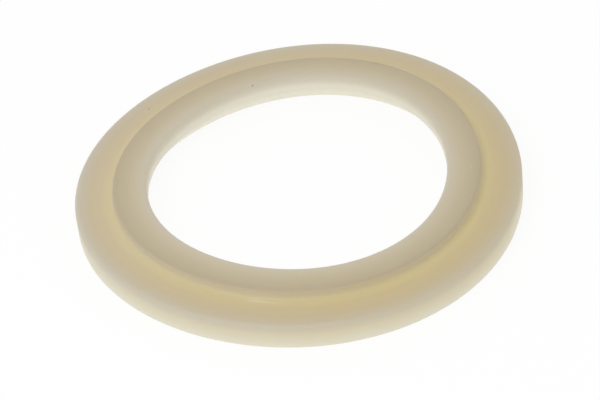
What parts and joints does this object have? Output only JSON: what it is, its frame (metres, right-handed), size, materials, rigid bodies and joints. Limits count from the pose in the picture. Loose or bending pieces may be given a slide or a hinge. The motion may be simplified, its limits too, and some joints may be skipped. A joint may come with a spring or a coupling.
{
  "type": "coffee machine gasket",
  "caption": "Stepped ring gasket in translucent cream silicone: a raised boss round the hole and a lower flange outside it, with a hole that widens towards the underside.",
  "frame": {"origin": "on the ring's axis, in the plane of the flat underside that the gasket lies on", "axes": "+Z is the ring's axis and points up, from the flat underside towards the raised boss; +X and +Y lie in the plane of the ring"},
  "size_m": [0.072, 0.072, 0.006],
  "materials": {
    "silicone": "soft matt translucent silicone, cream turning amber where it is thick"
  },
  "bodies": {
    "root": {"gasket_ring": "silicone"}
  },
  "joints": []
}
